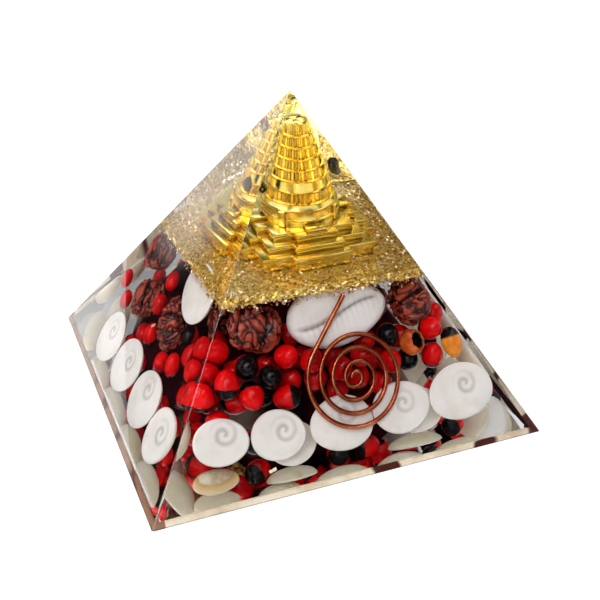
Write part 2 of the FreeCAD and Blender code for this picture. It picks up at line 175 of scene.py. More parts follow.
# A grey number or an RGB triple, with its alpha
def asColour(value):
    if isinstance(value, bpy.types.NodeSocket):
        return value
    return (*value, 1) if isinstance(value, tuple) else (value, value, value, 1)


# Builds the nodes of a material or of the world
class NodeTools:
    def __init__(self, owner):
        owner.use_nodes = True
        self.owner = owner
        self.tree = owner.node_tree

    def add(self, kind, inputs=None, **settings):
        node = self.tree.nodes.new("ShaderNode" + kind)
        for key, value in settings.items():
            setattr(node, key, value)
        for key, value in (inputs or {}).items():
            if isinstance(value, bpy.types.NodeSocket):
                self.tree.links.new(value, node.inputs[key])
            else:
                node.inputs[key].default_value = value
        return node

    def coords(self):
        return self.add("TexCoord").outputs["Object"]

    def split(self, vector):
        return self.add("SeparateXYZ", {"Vector": vector}).outputs

    def mark(self, name):
        return self.add("Attribute", attribute_name=name).outputs["Fac"]

    def cloud(self, scale, detail=4, roughness=0.55, coords=None):
        return self.add("TexNoise", {
            "Vector": self.coords() if coords is None else coords, "Scale": scale,
            "Detail": detail, "Roughness": roughness}).outputs["Fac"]

    def ramp(self, factor, *stops):
        node = self.add("ValToRGB", {"Fac": factor})
        elements = node.color_ramp.elements
        while len(elements) < len(stops):
            elements.new(0.5)
        for element, (position, colour) in zip(elements, stops):
            element.position = position
            element.color = asColour(colour)
        return node.outputs["Color"]

    # Tones that change in soft clouds
    def tones(self, scale, detail, *stops):
        return self.ramp(self.cloud(scale, detail), *stops)

    def blend(self, factor, first, second, mode="MIX"):
        return self.add("Mix", {0: factor, 6: asColour(first), 7: asColour(second)},
                        data_type="RGBA", blend_type=mode).outputs[2]

    def multiply(self, first, second):
        return self.blend(1.0, first, second, "MULTIPLY")

    def maths(self, operation, first, second=0.5):
        return self.add("Math", {0: first, 1: second}, operation=operation).outputs[0]

    # A cloud as a shift of half the reach either way
    def sway(self, value, reach):
        return self.maths("MULTIPLY", self.maths("SUBTRACT", value, 0.5), reach)

    # How open the place is, from 0 in a corner to 1 in the open, used to paint shade into corners
    def openness(self, distance, **settings):
        return self.add("AmbientOcclusion", {"Distance": distance}, samples=6,
                        **settings).outputs["AO"]

    def towards(self, way, direction):
        return self.add("VectorMath", {0: way, 1: Vector(direction).normalized()},
                        operation="DOT_PRODUCT").outputs["Value"]

    def bump(self, height, strength, distance):
        bump = self.add("Bump", {"Height": height, "Strength": strength, "Distance": distance})
        self.tree.links.new(bump.outputs["Normal"], self.shader.inputs["Normal"])

    # Links the colour, and a bump from its height, strength and distance
    def paint(self, colour, *bump):
        self.tree.links.new(colour, self.shader.inputs["Base Color"])
        if bump:
            self.bump(*bump)
        return self.owner


def newMaterial(name, sockets):
    make = NodeTools(bpy.data.materials.new(name))
    make.shader = make.tree.nodes["Principled BSDF"]
    for key, value in sockets.items():
        make.shader.inputs[key].default_value = value
    return make


# Under the resin a surface mirrors little, so these have low specular levels
def castMaterial(name, roughness, specular, ior=1.5):
    return newMaterial(name, {"Roughness": roughness, "IOR": ior, "Specular IOR Level": specular})


def metalMaterial(name, roughness, metallic=1.0):
    return newMaterial(name, {"Metallic": metallic, "Roughness": roughness})


def clearResinMaterial():
    make = newMaterial("clearResin", {
        "Base Color": (1, 1, 1, 1), "Roughness": 0.0, "IOR": 1.5, "Transmission Weight": 1.0,
        "Specular IOR Level": 0.25})
    make.bump(make.cloud(60, 2), 0.06, 0.2 * mm)
    return make.owner


def gomtiMaterial():
    make = castMaterial("gomtiShell", 0.4, 0.1)
    spiralStep, markShare = 0.23, 0.72
    flat = make.add("UVMap", uv_map="flat").outputs["UV"]
    across, upward = make.split(flat)[:2]
    radius = make.add("VectorMath", {0: flat}, operation="LENGTH").outputs["Value"]
    angle = make.maths("DIVIDE", make.maths("ARCTAN2", upward, across), 2 * math.pi)
    wander = make.maths("MULTIPLY", make.cloud(260, 2), 0.4)
    turns = make.maths("SUBTRACT", make.maths("DIVIDE", radius, spiralStep), angle)
    line = make.ramp(make.maths("FRACT", make.maths("ADD", wander, turns)),
                     (0.0, 0), (0.2, 0.55), (0.42, 1), (0.62, 0.4), (0.8, 0))
    spiral = make.multiply(line, make.ramp(radius, (0.0, 1), (0.22, 0.85), (0.38, 0)))
    face = make.tones(180, 5, (0.3, (0.82, 0.77, 0.72)), (0.5, (0.90, 0.87, 0.83)),
                      (0.75, (0.94, 0.92, 0.89)))
    marked = make.blend(make.maths("MULTIPLY", spiral, markShare), face, (0.42, 0.38, 0.37))
    back = make.tones(120, 4, (0.25, (0.55, 0.42, 0.20)), (0.4, (0.82, 0.74, 0.52)),
                      (0.65, (0.90, 0.86, 0.74)))
    behind = make.ramp(make.mark("depthShare"), (0.04, 0), (0.22, 1))
    height = make.maths("ADD", make.maths("MULTIPLY", spiral, -0.4), make.cloud(500))
    return make.paint(make.blend(behind, marked, back), height, 0.25, 0.12 * mm)


def cowrieMaterial():
    make = castMaterial("cowrieShell", 0.3, 0.2)
    body = make.tones(110, 4, (0.3, (0.80, 0.74, 0.70)), (0.5, (0.89, 0.86, 0.84)),
                      (0.8, (0.93, 0.91, 0.90)))
    # Painted shade: darker in the slit and in the creases between the teeth
    dark = make.ramp(make.mark("grooveShade"), (0.0, 0), (0.35, 0.25), (1.0, 1))
    return make.paint(make.blend(dark, body, (0.30, 0.24, 0.21)), make.cloud(420), 0.15, 0.1 * mm)


def moneyCowrieMaterial():
    make = castMaterial("moneyCowrieShell", 0.25, 0.3)
    ring = make.mark("ring")
    body = make.tones(220, 4, (0.3, (0.34, 0.22, 0.13)), (0.55, (0.60, 0.50, 0.38)),
                      (0.8, (0.80, 0.72, 0.60)))
    rim = make.ramp(ring, (0.0, (0.78, 0.68, 0.50)), (0.4, (0.66, 0.47, 0.20)),
                    (0.62, (0.50, 0.32, 0.12)), (0.75, 0))
    inside = make.ramp(ring, (0.62, 0), (0.72, 1))
    return make.paint(make.blend(inside, rim, body), make.cloud(600), 0.15, 0.1 * mm)


def rudrakshaMaterial():
    make = castMaterial("rudrakshaSeed", 0.22, 0.5)
    grain = make.cloud(700, 5)
    level = make.maths("ADD", make.mark("ridge"), make.sway(grain, 0.35))
    # Colour by the ridge level with random grain: near black in the clefts as painted shade
    colour = make.ramp(level, (0.0, (0.006, 0.001, 0.001)), (0.30, (0.03, 0.003, 0.002)),
                       (0.52, (0.20, 0.018, 0.009)), (0.90, (0.46, 0.065, 0.028)))
    return make.paint(colour, grain, 0.5, 0.25 * mm)


def gunjaMaterial():
    make = castMaterial("gunjaSeed", 0.14, 0.22)
    length = make.maths("ADD", make.mark("lengthShare"), make.sway(make.cloud(260, 2), 0.12))
    red = make.tones(90, 3, (0.3, (0.60, 0.001, 0.003)), (0.55, (0.82, 0.001, 0.003)),
                     (0.8, (0.90, 0.006, 0.006)))
    # Painted shade where the seeds meet, from ambient occlusion
    shade = make.ramp(make.openness(3.5 * mm), (0.0, (0.10, 0.04, 0.04)),
                      (0.3, (0.45, 0.3, 0.3)), (0.7, 1))
    cap = make.ramp(length, (0.64, 0), (0.68, 1))
    colour = make.blend(cap, make.multiply(red, shade), (0.003, 0.002, 0.003))
    return make.paint(colour, make.cloud(500, 3), 0.06, 0.1 * mm)


def orangeSeedMaterial():
    make = castMaterial("orangeSeed", 0.2, 0.25)
    skin = make.tones(240, 4, (0.3, (0.80, 0.18, 0.01)), (0.55, (1.0, 0.36, 0.03)),
                      (0.8, (1.0, 0.50, 0.14)))
    cap = make.ramp(make.mark("lengthShare"), (0.66, 0), (0.72, 1))
    return make.paint(make.blend(cap, skin, (0.006, 0.004, 0.004)))


def seedShellMaterial():
    make = castMaterial("seedShell", 0.35, 0.2)
    outer = make.tones(500, 4, (0.3, (0.34, 0.03, 0.01)), (0.6, (0.75, 0.14, 0.02)),
                       (0.85, (0.85, 0.34, 0.12)))
    # Painted shade: the inside of the shell is near black
    return make.paint(make.blend(make.mark("within"), outer, (0.008, 0.004, 0.004)),
                      make.cloud(900), 0.3, 0.15 * mm)


def cloudyMetal(name, roughness, scale, stops, grain, strength, distance):
    make = metalMaterial(name, roughness)
    return make.paint(make.tones(scale, 4, *stops), make.cloud(*grain), strength, distance)


# Plated gold, with painted shade that makes it browner on its walls and in its corners
def goldMaterial():
    make = metalMaterial("platedGold", 0.2)
    colour = make.tones(160, 5, (0.3, (0.98, 0.74, 0.14)), (0.5, (1.0, 0.84, 0.26)),
                        (0.75, (1.0, 0.92, 0.50)))
    upwards = make.split(make.add("NewGeometry").outputs["Normal"])["Z"]
    # Painted shade: the steep walls are darker than the level tops
    wallShade = make.ramp(upwards, (0.0, (0.86, 0.72, 0.46)), (0.15, (0.92, 0.79, 0.52)), (0.5, 1))
    # Painted shade in the corners, from ambient occlusion
    cornerShade = make.ramp(make.openness(1.1 * mm, only_local=True), (0.0, (0.30, 0.16, 0.04)),
                        (0.35, (0.55, 0.36, 0.14)), (0.75, 1))
    return make.paint(make.multiply(make.multiply(colour, wallShade), cornerShade),
                      make.cloud(900, 5, 0.65), 0.14, 0.08 * mm)


def goldFlakeMaterial():
    make = metalMaterial("goldFlakeResin", 0.3, 0.9)
    grains = make.add("TexVoronoi", {"Vector": make.coords(), "Scale": 2300})
    tone, bump = make.add("SeparateColor", {"Color": grains.outputs["Color"]}).outputs[:2]
    tone = make.blend(0.35, tone, make.cloud(180))
    colour = make.ramp(tone, (0.1, (0.22, 0.09, 0.02)), (0.28, (0.55, 0.30, 0.06)),
                       (0.5, (0.90, 0.60, 0.12)), (0.72, (1.0, 0.78, 0.26)),
                       (0.9, (1.0, 0.93, 0.68)))
    return make.paint(colour, bump, 0.9, 0.5 * mm)


def tourmalineMaterial():
    make = castMaterial("tourmaline", 0.22, 0.3, 1.62)
    streaks = make.add("Mapping", {"Vector": make.coords(), "Scale": (2600, 2600, 320)})
    streak = make.cloud(1, 3, coords=streaks.outputs["Vector"])
    colour = make.ramp(streak, (0.3, (0.006, 0.005, 0.008)), (0.6, (0.02, 0.016, 0.02)),
                       (0.85, (0.10, 0.09, 0.10)))
    return make.paint(colour, streak, 0.5, 0.2 * mm)


# Dark maroon, with painted light: pale towards the lower corners, most of all on the right
def darkCoreMaterial():
    make = castMaterial("darkCore", 0.6, 0.0)
    dark = make.tones(70, 4, (0.35, (0.010, 0.001, 0.003)), (0.55, (0.045, 0.003, 0.009)),
                      (0.8, (0.13, 0.006, 0.016)))
    # Painted light: cream tones near the lower corners, standing in for light through the clear
    # resin there
    cornerLight = make.tones(130, 4, (0.3, (0.50, 0.44, 0.34)), (0.5, (0.72, 0.66, 0.54)),
                      (0.75, (0.84, 0.79, 0.69)))
    x, y, z = make.split(make.coords())
    across = make.maths("ABSOLUTE", y)
    least = make.maths("MINIMUM", make.maths("ABSOLUTE", x), across)
    widest = make.maths("SUBTRACT", block["half"], make.maths("MULTIPLY", z, run / block["height"]))
    rightSide = make.maths("MULTIPLY", make.maths("GREATER_THAN", x, across), 0.3)
    wander = make.maths("ADD", rightSide, make.sway(make.cloud(160, 3), 0.15))
    cornerShare = make.maths("ADD", make.maths("DIVIDE", least, widest), wander)
    low = make.ramp(make.maths("DIVIDE", z, block["height"]), (0.08, 1), (0.17, 0))
    cornerLightShare = make.multiply(make.ramp(cornerShare, (0.36, 0), (0.68, 1)), low)
    return make.paint(make.blend(cornerLightShare, dark, cornerLight))


gomtiShell = gomtiMaterial()
cowrieShell = cowrieMaterial()
gunjaSeed = gunjaMaterial()
goldFoil = cloudyMetal("goldFoil", 0.3, 260, (
    (0.25, (0.50, 0.30, 0.12)), (0.5, (0.92, 0.72, 0.42)), (0.8, (1.0, 0.90, 0.74))),
    (800,), 0.5, 0.2 * mm)
copperWire = cloudyMetal("copperWire", 0.16, 220, (
    (0.3, (0.26, 0.05, 0.02)), (0.55, (0.48, 0.12, 0.05)), (0.8, (0.88, 0.38, 0.20))),
    (1200, 3), 0.25, 0.06 * mm)
print("materials ready")


# ---- clear resin

def makeResinBlock():
    bpy.ops.mesh.primitive_plane_add(size=2 * block["half"])
    piece = bpy.context.object
    setMode("EDIT")
    bpy.ops.mesh.bevel(offset=block["cornerRadius"], segments=4, affect="VERTICES")
    bpy.ops.mesh.extrude_region_move(TRANSFORM_OT_translate={"value": (0, 0, block["height"])})
    share = block["tipWidth"] / 2 / block["half"]
    bpy.ops.transform.resize(value=(share, share, 1))
    closeShape()
    smooth(piece, 30)
    return dress(piece, clearResinMaterial(), "clear_resin", "base_resin", "seed_bed_resin",
                 "clear_apex_resin")


makeResinBlock()
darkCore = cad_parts["dark_core_resin"]
darkCore.data.materials.clear()
darkCore.data.materials.append(darkCoreMaterial())


baseRim = {
    "high": 1.0 * mm,
    "deep": 2.0 * mm,
    "skin": 0.12 * mm,
    "topShare": 0.2,      # depth at the top of the wedge
}


# Cream with brown gaps, and brown on the left side
def rimMaterial():
    make = castMaterial("paleRim", 0.4, 0.2)
    cream = make.tones(90, 3, (0.3, (0.70, 0.54, 0.40)), (0.5, (0.92, 0.82, 0.66)),
                       (0.75, (0.96, 0.88, 0.78)))
    gaps = make.ramp(make.cloud(75, 2, 0.4), (0.56, 0), (0.60, 1))
    leftEdge = -block["half"] + baseRim["deep"] + baseRim["high"]
    leftSide = make.maths("LESS_THAN", make.split(make.coords())["X"], leftEdge)
    cream = make.blend(leftSide, cream, (0.36, 0.20, 0.13))
    return make.paint(make.blend(gaps, cream, (0.10, 0.02, 0.012)))


# The edge of the base layer: one bar along the front, wedge-shaped, copied round the block
def makeBaseRim():
    bpy.ops.mesh.primitive_cube_add(size=2)
    bar = bpy.context.object
    subdivide(2)
    for vert in bar.data.vertices:
        x, y, z = vert.co
        rise = (z + 1) / 2
        level = baseRim["skin"] + rise * baseRim["high"]
        outer = halfAt(level) - baseRim["skin"]
        inward = (y + 1) / 2 * baseRim["deep"] * (1 - (1 - baseRim["topShare"]) * rise)
        vert.co = Vector((x * (outer - inward), -(outer - inward), level))
    bars = [bar] + [copyOf(bar, "bar") for n in (1, 2, 3)]
    for quarter, side in enumerate(bars):
        place(side, turned(90 * quarter))
    return dress(joined(bars, "base_rim"), rimMaterial(), "clear_resin")


makeBaseRim()
print("clear resin and dark core")


# ---- gomti chakra discs

gomti = {
    "thick": 4.8 * mm,
    "sides": 56,
    "rings": ((-0.35, 1.0), (-0.3, 1.0), (-0.55, 0.985), (-0.8, 0.93), (-0.85, 0.84),
              (-0.8, 0.70), (-0.6, 0.52), (-0.4, 0.34), (-0.15, 0.17)),
    "faceWidth": 0.95,
    "uneven": (0.018, 0.014),
    "thin": 0.54,         # share of the thickness for the discs of the second row
}


# Disc of 1 x 1 mm and full thickness, its flat face at z = 0. Steps in mm down, then the width
def makeGomti(thickShare=1.0):
    width = gomti["faceWidth"]
    bpy.ops.mesh.primitive_circle_add(vertices=gomti["sides"], radius=width / 2 * mm,
                                      fill_type="NGON")
    piece = bpy.context.object
    editAll()
    for step, following in gomti["rings"]:
        bpy.ops.mesh.extrude_region_move(
            TRANSFORM_OT_translate={"value": (0, 0, step * mm * thickShare)})
        bpy.ops.transform.resize(value=(following / width, following / width, 1))
        width = following
    closeShape()
    return piece


# One disc, sized in mm, with its own uneven outline and its spiral off the middle
def placeGomti(model, name, length, height, matrix, spiralAt, thickShare=1.0):
    piece = copyOf(model, name)
    first, second = dice.uniform(0, 6.28), dice.uniform(0, 6.28)
    double, triple = gomti["uneven"]
    thick = gomti["thick"] * thickShare
    markPoints(piece, "depthShare", [-vert.co.z / thick for vert in piece.data.vertices])
    for vert in piece.data.vertices:
        angle = math.atan2(vert.co.y, vert.co.x)
        uneven = 1 + double * math.cos(2 * angle + first) + triple * math.cos(3 * angle + second)
        vert.co.x *= length * uneven
        vert.co.y *= height * uneven
    flat = piece.data.uv_layers.new(name="flat")
    for loop in piece.data.loops:
        spot = piece.data.vertices[loop.vertex_index].co / (10 * mm)
        flat.data[loop.index].uv = (spot.x - spiralAt[0] / 10, spot.y - spiralAt[1] / 10)
    place(piece, matrix)
    smooth(piece, 45)
    return dress(piece, gomtiShell, "gomti_shell", name)


def rowCentres(lengths, middle):
    start = middle - (sum(lengths) + rowGap * (len(lengths) - 1)) / 2
    centres = []
    for length in lengths:
        centres.append(start + length / 2)
        start += length + rowGap
    return centres


gomtiRows = {     # face, middle, then length, height, up the slope, extra gap before it, turn
    "front": (0, 1.0, ((12.9, 10.63, 14.65, 0, 0), (13.35, 11.38, 13.46, 0, 0),
                       (15.75, 13.13, 12.91, 1.0, 0), (15.15, 12.63, 13.46, 0, 0),
                       (18.15, 13.88, 14.01, 0, 0))),
    "left": (3, 4.95, ((15.75, 14.0, 10.99, 0, 30), (16.2, 14.38, 11.63, 0.74, 30),
                       (15.6, 14.5, 11.99, 1.04, 30), (13.05, 13.75, 11.26, 0, 0))),
    "right": (1, -1.8, ((15.75, 12.75, 12.82, 0, 0), (14.4, 12.25, 12.27, 0, 0),
                        (16.2, 13.25, 13.0, 0, 0), (14.7, 12.5, 12.45, 0, 0))),
    "back": (2, 5.2, ((13.35, 12.5, 12.63, 0, 0), (14.55, 13.0, 13.0, 0, 0),
                      (14.4, 12.75, 12.27, 0, 0), (13.2, 13.13, 12.82, 0, 0),
                      (12.6, 12.25, 12.45, 0, 0))),
}
spiralSpots = ((0.9, 1.6), (1.5, 0.9), (1.2, 2.2), (0.7, 1.0), (1.3, 1.7))
offFace = (0, 40)     # puts the spiral outside the disc, whose plain face shows

discModel = makeGomti()
for rowName, (face, middle, discs) in gomtiRows.items():
    widths = []
    for length, height, up, gap, turn in discs:
        swing = math.radians(turn)
        widths.append(math.hypot(length * math.cos(swing), height * math.sin(swing)) + gap)
    centres = rowCentres(widths, middle)
    for i, (length, height, up, gap, turn) in enumerate(discs):
        placeGomti(discModel, f"{rowName}_gomti_{i + 1}", length, height,
                   onFace(face, centres[i] + gap / 2, up, frontDepth, turn), spiralSpots[i])
placeGomti(discModel, "left_upper_gomti", 17.1, 13.5, onFace(3, 10.9, 40.47, frontDepth, -23),
           offFace)
thinModel = makeGomti(gomti["thin"])
for i, (along, up, length, height, back) in enumerate(
        ((-14.25, 10.9, 12.3, 11.25, 4.704), (19.0, 11.81, 15.0, 11.88, 5.76))):
    placeGomti(thinModel, f"front_second_gomti_{i + 1}", length, height,
               onFace(0, along, up, frontDepth + back, 0, 0, -25), offFace, gomti["thin"])
drop(discModel)
drop(thinModel)
print("gomti discs")


# ---- rudraksha beads

rudraksha = {
    "width": 13 * mm,
    "height": 12.4 * mm,
    "lobes": 5,
    "lobeDepth": 0.144,
    "knotScale": (1.1, 1.9, 1.9),
    "swirl": (1.6, 0.75),       # scale and reach of the bend in the knots
    "swirlFrom": ((7.3, 1.1, 4.2), (2.9, 8.6, 5.1), (6.4, 3.7, 9.8)),   # where its noise is read
    "cleft": 2.2,               # higher for narrower clefts between the knots
    "relief": 0.16,
    "grain": 0.035,
    "endTaper": 0.12,
}


# Bead with its bore along X: five lobes, deep seams and knotted ridges
def makeRudraksha(seedNumber):
    bpy.ops.mesh.primitive_ico_sphere_add(subdivisions=6, radius=1)
    piece = bpy.context.object
    shift = Vector((seedNumber * 3.7, seedNumber * 1.9, 0))
    knotScale = Vector(rudraksha["knotScale"])
    swirlScale, swirlReach = rudraksha["swirl"]
    swirlFrom = [Vector(start) for start in rudraksha["swirlFrom"]]
    half = Vector((rudraksha["height"], rudraksha["width"], rudraksha["width"])) / 2
    ridges = []
    for vert in piece.data.vertices:
        way = vert.co.normalized()
        round_ = math.atan2(way.z, way.y)
        seam = abs(math.cos(rudraksha["lobes"] * round_ / 2))
        spot = way * knotScale + shift
        bend = [noise.noise(spot * swirlScale + start) for start in swirlFrom]
        spot += Vector(bend) * swirlReach
        near = noise.voronoi(spot)[0]
        knot = min(1.0, (near[1] - near[0]) * rudraksha["cleft"])
        fine = noise.fractal(way * 7 + shift, 1.0, 2.0, 3)
        deep = min(1.0, seam * 2.6) ** 0.6
        level = knot ** 0.55 * deep
        reach = (1 - rudraksha["lobeDepth"] * (1 - deep) - rudraksha["relief"] * (1 - level)
                 + rudraksha["grain"] * fine)
        ends = 1 - rudraksha["endTaper"] * max(0, abs(way.x) - 0.75) / 0.25
        ridges.append(level)
        vert.co = way * half * reach
        vert.co.x *= ends
    # The ridge level, which the material reads to paint shade into the clefts
    markPoints(piece, "ridge", ridges)
    smooth(piece)
    return piece


rudrakshaSeed = rudrakshaMaterial()
beadPlaces = {     # face, along, up, depth, turn, share of width, share of height
    "front_rudraksha_1": (0, -17.6, 38.27, 9.475, 70, 1.05, 1.05),
    "front_rudraksha_2": (0, 23.3, 38.27, 9.02, 20, 0.98, 0.98),
    "front_rudraksha_3": (0, 14.0, 40.28, 18.9, 50, 1, 1),
    "left_rudraksha_1": (3, -23.0, 37.63, 10.125, 120, 1.15, 1.02),
    "left_rudraksha_2": (3, -16.4, 25.63, 10.125, 120, 1.15, 1.02),
    "left_rudraksha_3": (3, 3.4, 28.93, 10.255, 30, 1.17, 1.13),
    "right_rudraksha_1": (1, 20.0, 37.72, 9.15, 80, 1, 1),
    "back_rudraksha_1": (2, -6.5, 37.72, 9.15, 60, 1, 1),
    "back_rudraksha_2": (2, 7.5, 37.72, 9.15, 10, 1, 1),
}
beadModels = [makeRudraksha(n) for n in (1, 2, 3)]
for i, (name, (face, along, up, depth, turn, wide, high)) in enumerate(beadPlaces.items()):
    bead = copyOf(beadModels[i % 3], name)
    place(bead, onFace(face, along, up, depth, turn, 0, 37 * i)
          @ Matrix.Diagonal((high, wide, wide, 1)))
    dress(bead, rudrakshaSeed, "rudraksha_seed", name)
for model in beadModels:
    drop(model)
print("rudraksha beads")


# ---- cowrie shells

whiteCowrie = {
    "size": (26 * mm, 15.6 * mm, 8.6 * mm),
    "domeShare": 0.68,
    "slitSwing": 1.6 * mm,
    "slitShift": 0.25 * mm,
    "slitWidth": 0.65 * mm,
    "slitDepth": 1.1 * mm,
    "teeth": 17,
    "creaseReach": 3.2 * mm,
    "creaseDepth": 0.28 * mm,
}


# Shell along X with its underside up (+z): two lips that roll into an S-shaped toothed slit
def makeWhiteCowrie():
    long, wide, thick = whiteCowrie["size"]
    bpy.ops.mesh.primitive_uv_sphere_add(segments=160, ring_count=96, radius=1)
    piece = bpy.context.object
    marks = []
    dome = thick * whiteCowrie["domeShare"]
    for vert in piece.data.vertices:
        x, y, z = vert.co
        egg = 1 - 0.10 * x - 0.05 * x * x
        px, py = x * long / 2, y * wide / 2 * egg
        if z < 0:
            vert.co = Vector((px, py, z * dome))
            marks.append(0.0)
            continue
        floor = (thick - dome) * (1 - (1 - min(1, z / 0.75)) ** 2.2)
        line = whiteCowrie["slitSwing"] * math.sin(x * 2.4) - whiteCowrie["slitShift"]
        away = py - line
        slit = math.exp(-(away / whiteCowrie["slitWidth"]) ** 2) * min(1, (1 - abs(x)) * 4)
        tooth = 0.5 + 0.5 * math.cos(px / long * 2 * math.pi * whiteCowrie["teeth"])
        reach = math.exp(-(away / whiteCowrie["creaseReach"]) ** 2) * min(1, (1 - abs(x)) * 3)
        crease = tooth ** 6 * reach * (0.35 if away > 0 else 0.6)
        sunk = slit * whiteCowrie["slitDepth"] + crease * whiteCowrie["creaseDepth"]
        vert.co = Vector((px, py, floor - sunk))
        # Marks the slit and the creases for the painted shade
        marks.append(min(1, slit ** 3 * 0.8 + crease * 0.5))
    markPoints(piece, "grooveShade", marks)
    smooth(piece)
    return piece


for name, matrix in (("front_white_cowrie", onFace(0, 2.4, 38.45, 5.402, 6)),
                     ("right_white_cowrie", onFace(1, 0, 38.45, 5.402, -8))):
    shell = makeWhiteCowrie()
    place(shell, matrix)
    dress(shell, cowrieShell, "cowrie_shell", name)


moneyCowrie = {
    "size": (10.6 * mm, 7.4 * mm, 3.8 * mm),
    "domeShare": 0.68,
    "hump": 0.05,
}


# Small shell along X, its domed back up, with a yellow ring round the hump
def makeMoneyCowrie():
    long, wide, thick = moneyCowrie["size"]
    bpy.ops.mesh.primitive_uv_sphere_add(segments=64, ring_count=40, radius=1)
    piece = bpy.context.object
    dome = thick * moneyCowrie["domeShare"]
    markPoints(piece, "ring", [max(0, vert.co.z) for vert in piece.data.vertices])
    for vert in piece.data.vertices:
        x, y, z = vert.co
        egg = 1 + 0.12 * x - 0.06 * x * x
        hump = 1 + moneyCowrie["hump"] * math.cos(3 * math.atan2(y, x))
        height = z * (dome if z > 0 else thick - dome)
        vert.co = Vector((x * long / 2 * hump, y * wide / 2 * egg * hump, height))
    smooth(piece)
    return piece


moneyShell = makeMoneyCowrie()
place(moneyShell, standing(0, -34, 7.2, 2.766))
dress(moneyShell, moneyCowrieMaterial(), "cowrie_shell", "front_money_cowrie")
print("cowrie shells")


# ---- seeds

gunja = {
    "length": 7.0,
    "width": 5.8,
    "blunt": 0.08,
    "lowInward": 16.4,
    "lowHeight": 4.45,
    "bandUp": 0.265,
    "bandTips": (-50, -30, 90, -60),
}


# Egg-shaped seed along X, sizes in mm, with its dark end at -X
def makeSeed(length, width):
    bpy.ops.mesh.primitive_uv_sphere_add(segments=28, ring_count=18, radius=1,
                                         rotation=(0, math.pi / 2, 0))
    piece = bpy.context.object
    bpy.ops.object.transform_apply(location=True, rotation=True, scale=True)
    markPoints(piece, "lengthShare", [0.5 - 0.5 * vert.co.x for vert in piece.data.vertices])
    for vert in piece.data.vertices:
        x, y, z = vert.co
        egg = 1 - gunja["blunt"] * x
        vert.co = Vector((x * length / 2, y * width / 2 * egg, z * width / 2 * egg)) * mm
    smooth(piece)
    return piece


seedModel = makeSeed(gunja["length"], gunja["width"])


# Seeds under a face: shares along and up, layer, turn and tip, then the low row
def seedGroup(name, face, places, lowAlong):
    half = block["half"] / mm
    seeds = []
    for along, up, layer, turn, tip in places:
        nod = math.radians(tip)
        reach = math.hypot(gunja["length"] * math.sin(nod), gunja["width"] * math.cos(nod))
        depth = frontDepth + reach / 2 + layer * (gunja["width"] + rowGap)
        seeds.append(copyOf(seedModel, "seed"))
        place(seeds[-1], onFace(face, along * half, up * slant / mm, depth, turn, tip))
    for i, along in enumerate(lowAlong):
        seeds.append(copyOf(seedModel, "seed"))
        place(seeds[-1], standing(face, along * half, gunja["lowInward"], gunja["lowHeight"],
                                  40 * (i % 3)))
    return dress(joined(seeds, name), gunjaSeed, "gunja_seed", name)


def bandPlaces(count, middle):
    centres = rowCentres([gunja["length"]] * count, middle)
    tips = gunja["bandTips"]
    return [(along * mm / block["half"], gunja["bandUp"], 0, 55 * i, tips[i % len(tips)])
            for i, along in enumerate(centres)]


frontSeeds = (
    (-0.467, 0.316, 1.22, 20, -50), (-0.545, 0.293, 0, 80, 0), (-0.439, 0.326, 0, 0, 90),
    (-0.334, 0.291, 0, 0, 80), (-0.439, 0.254, 0, -85, -25), (-0.362, 0.247, 0.83, 0, 90),
    (-0.272, 0.232, 0.05, 180, 15), (-0.236, 0.333, 0.16, 30, -60), (-0.120, 0.311, 0, 60, -60),
    (-0.556, 0.355, 1.70, 80, -40), (-0.096, 0.262, 0.80, 20, -50), (-0.138, 0.321, 1.17, 0, -40),
    (-0.169, 0.386, 1.17, 0, -30), (-0.315, 0.313, 1.08, 100, -50), (0.011, 0.312, 0.87, 30, -60),
    (0.016, 0.276, 0, 50, -50), (0.136, 0.299, 0, 0, -60), (0.189, 0.333, 0.85, 40, -40),
    (0.287, 0.269, 0.15, 75, -60), (0.298, 0.339, 0.14, 0, 80), (0.389, 0.329, 1.04, 0, -50),
    (0.531, 0.335, 0, 0, -60), (0.523, 0.262, 0.28, 80, -40), (0.606, 0.368, 1.38, 50, -30),
    (-0.493, 0.243, 0.97, 0, -40), (-0.220, 0.271, 0.87, 40, -60), (0.004, 0.220, 1.12, 0, -30),
    (0.125, 0.244, 0.76, 80, -60), (0.245, 0.279, 1.24, 20, -40), (0.404, 0.263, 0.85, 0, 90),
    (-0.658, 0.272, 0.33, 90, -30), (0.238, 0.216, 0.85, 10, -60))
leftSeeds = (
    (-0.620, 0.264, 0.10, 60, -50), (0.501, 0.296, 0, 70, -60), (0.316, 0.251, 0.09, 100, -50),
    (0.509, 0.227, 0.58, 0, -60), (0.624, 0.211, 0.92, 45, -40), (0.466, 0.353, 0, 30, -60),
    (-0.212, 0.194, 1.20, 0, -40), (-0.176, 0.381, 0.66, 0, -50), (0.179, 0.216, 0.37, 20, -60),
    (-0.072, 0.229, 0.54, 110, -40), (-0.513, 0.218, 0.28, 70, -60), (0.277, 0.334, 0.50, 30, 90),
    (-0.132, 0.313, 0.22, 60, -60))
seedGroup("front_gunja_seeds", 0, frontSeeds, (-0.60, -0.43, -0.02, 0.13, 0.62))
seedGroup("left_gunja_seeds", 3, leftSeeds, (-0.25, -0.06, 0.20, 0.36, 0.53))
seedGroup("right_gunja_seeds", 1, bandPlaces(6, 5.0), (-0.14, 0.12))
seedGroup("back_gunja_seeds", 2, bandPlaces(6, 0), (-0.10, 0.16))
drop(seedModel)

orangeSeed = makeSeed(8.0, 5.5)
place(orangeSeed, onFace(0, 31.5, 26.18, 5.4, -84))
dress(orangeSeed, orangeSeedMaterial(), "orange_seed", "orange_seed")


halfShell = {
    "radius": 3.25 * mm,
    "mouth": 2.3 * mm,      # height of the opening over the middle
    "mouthWay": (0.1, 0.15, 1),
    "wall": 0.7 * mm,
    "lumps": 0.22 * mm,
    "lumpSize": 1.6 * mm,
    "edge": 0.15 * mm,
}


